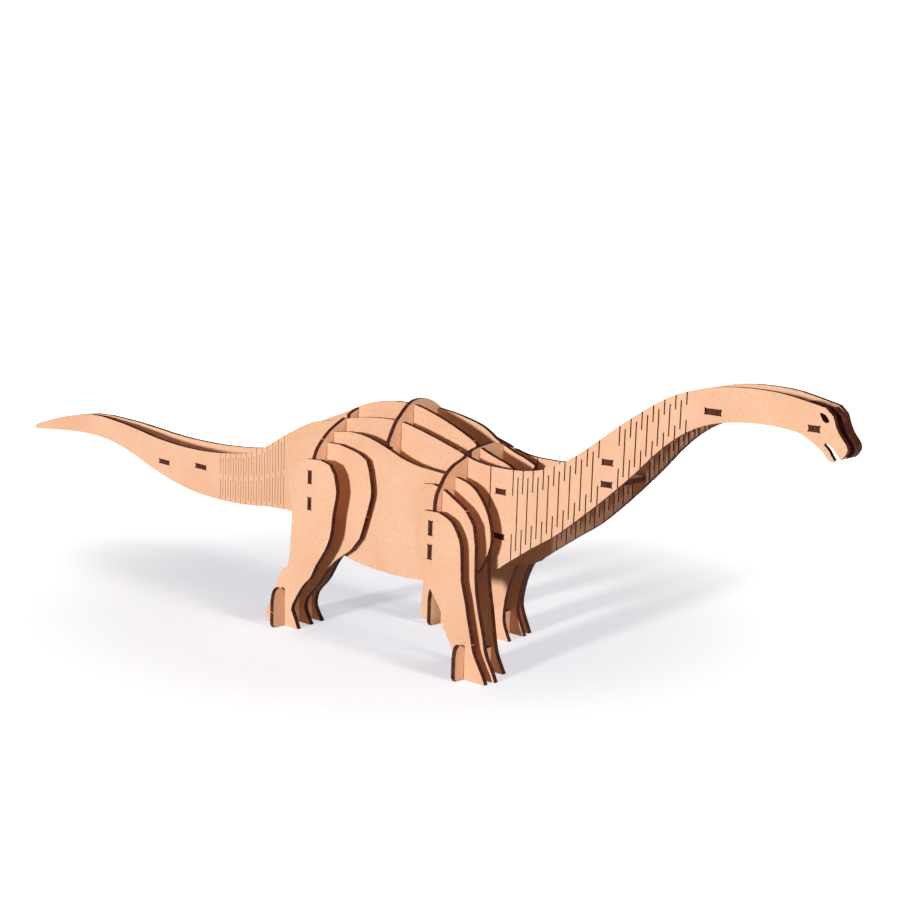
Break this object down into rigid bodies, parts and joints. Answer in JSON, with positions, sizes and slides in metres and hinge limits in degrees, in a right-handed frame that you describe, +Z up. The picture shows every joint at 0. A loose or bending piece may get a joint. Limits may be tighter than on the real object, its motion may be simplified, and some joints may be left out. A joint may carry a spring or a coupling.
{
  "type": "slot-together dinosaur model",
  "caption": "Free-standing press-fit model of a long-necked dinosaur, built from flat laser-cut fibreboard sheets that slot into each other, with bent side panels.",
  "frame": {"origin": "middle of the model's footprint, on the floor under it", "axes": "+X forward to the head, +Y to the animal's left, +Z up"},
  "size_m": [0.5626, 0.0934, 0.1483],
  "materials": {
    "fibreboard": "bare 2.5 mm medium-density fibreboard, smooth pale faces, edges burnt dark brown by the laser"
  },
  "bodies": {
    "root": {"side_panel_right": "fibreboard", "inner_body_right": "fibreboard", "outer_body_right": "fibreboard", "side_panel_left": "fibreboard", "inner_body_left": "fibreboard", "outer_body_left": "fibreboard", "head_middle": "fibreboard", "rib_rear": "fibreboard", "rib_middle": "fibreboard", "rib_front": "fibreboard", "rear_right_leg_outer": "fibreboard", "rear_right_leg_middle": "fibreboard", "rear_right_leg_inner": "fibreboard", "rear_right_foot": "fibreboard", "rear_left_leg_outer": "fibreboard", "rear_left_leg_middle": "fibreboard", "rear_left_leg_inner": "fibreboard", "rear_left_foot": "fibreboard", "front_right_leg_outer": "fibreboard", "front_right_leg_middle": "fibreboard", "front_right_leg_inner": "fibreboard", "front_right_foot": "fibreboard", "front_left_leg_outer": "fibreboard", "front_left_leg_middle": "fibreboard", "front_left_leg_inner": "fibreboard", "front_left_foot": "fibreboard", "tail_spacer_rear": "fibreboard", "tail_spacer_front": "fibreboard", "chest_spacer_upper": "fibreboard", "chest_spacer_lower": "fibreboard", "neck_spacer_upper": "fibreboard", "neck_spacer_lower": "fibreboard", "throat_spacer": "fibreboard", "head_spacer": "fibreboard"}
  },
  "joints": []
}
